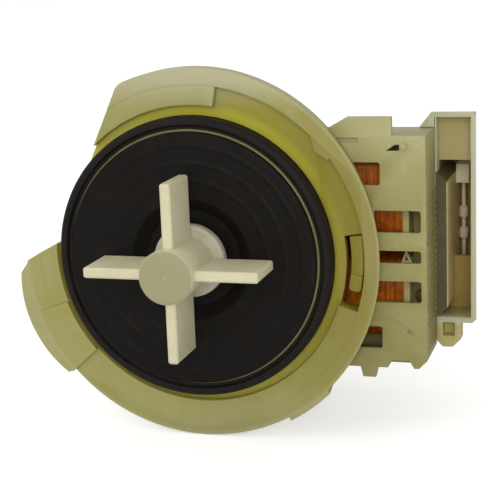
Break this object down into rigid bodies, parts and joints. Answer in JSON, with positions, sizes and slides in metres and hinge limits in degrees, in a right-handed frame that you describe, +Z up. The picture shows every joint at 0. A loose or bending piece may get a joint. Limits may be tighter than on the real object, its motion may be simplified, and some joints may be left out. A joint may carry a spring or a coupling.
{
  "type": "drain pump",
  "caption": "Bayonet-mount drain pump: bladed impeller ahead of a sealed flange, magnet rotor in a closed can, and a stator with a U-shaped core, wound coils, covers and terminal box",
  "frame": {"origin": "on the pump axis, in the front face of the flange's outer band, where the seal ring fills the sump's bore", "axes": "+Y along the pump axis from the impeller to the motor, +X towards the coils and the terminals, +Z up"},
  "size_m": [0.112, 0.0764, 0.09],
  "materials": {
    "flange_plastic": "pale yellow-green translucent moulding",
    "cover_plastic": "grey-green beige moulding",
    "box_plastic": "cream moulding",
    "white_plastic": "off-white moulding",
    "black_plastic": "black moulding",
    "black_rubber": "black elastomer",
    "steel": "plain steel",
    "core_steel": "stacked electrical sheet",
    "magnet": "sintered ferrite",
    "bush": "carbon-filled plain bearing",
    "winding": "enamelled copper wire",
    "tab": "plain brass"
  },
  "bodies": {
    "housing": {"pump_flange": "flange_plastic", "seal_ring": "black_rubber", "front_plate": "black_plastic", "chamber_seal": "black_rubber", "shaft_seal": "black_rubber", "front_bearing_seat": "black_rubber", "front_bearing": "bush", "rear_bearing_seat": "black_rubber", "rear_bearing": "bush", "stator_core": "core_steel", "core_rivets": "steel", "upper_bobbin": "black_plastic", "lower_bobbin": "black_plastic", "upper_coil": "winding", "lower_coil": "winding", "coil_cover": "cover_plastic", "rear_cover": "cover_plastic", "motor_screws": "steel", "terminal_box": "box_plastic", "upper_terminal": "tab", "lower_terminal": "tab", "core_clip": "white_plastic"},
    "rotor": {"rotor_shaft": "steel", "magnet_carrier": "white_plastic", "rotor_magnet": "magnet", "front_thrust_washer": "steel", "rear_thrust_washer": "steel", "drive_dog": "white_plastic"},
    "impeller": {"impeller": "white_plastic", "coupling_cap": "white_plastic", "dog_buffers": "black_rubber"},
    "latch": {"latch_tongue": "flange_plastic"}
  },
  "joints": [
    {"name": "rotor_spin", "type": "hinge", "parent": "housing", "child": "rotor", "pos_m": [0, 0, 0], "axis": [0, 1, 0], "continuous": true},
    {"name": "impeller_lost_motion", "type": "hinge", "parent": "rotor", "child": "impeller", "pos_m": [0, 0, 0], "axis": [0, 1, 0], "range_deg": [-115, 115]},
    {"name": "latch_flex", "type": "hinge", "parent": "housing", "child": "latch", "pos_m": [0.0385, 0.0033, 0.00575], "axis": [0.989, 0, 0.1478], "range_deg": [-2, 8], "stiffness_Nm_per_rad": 0.03}
  ]
}
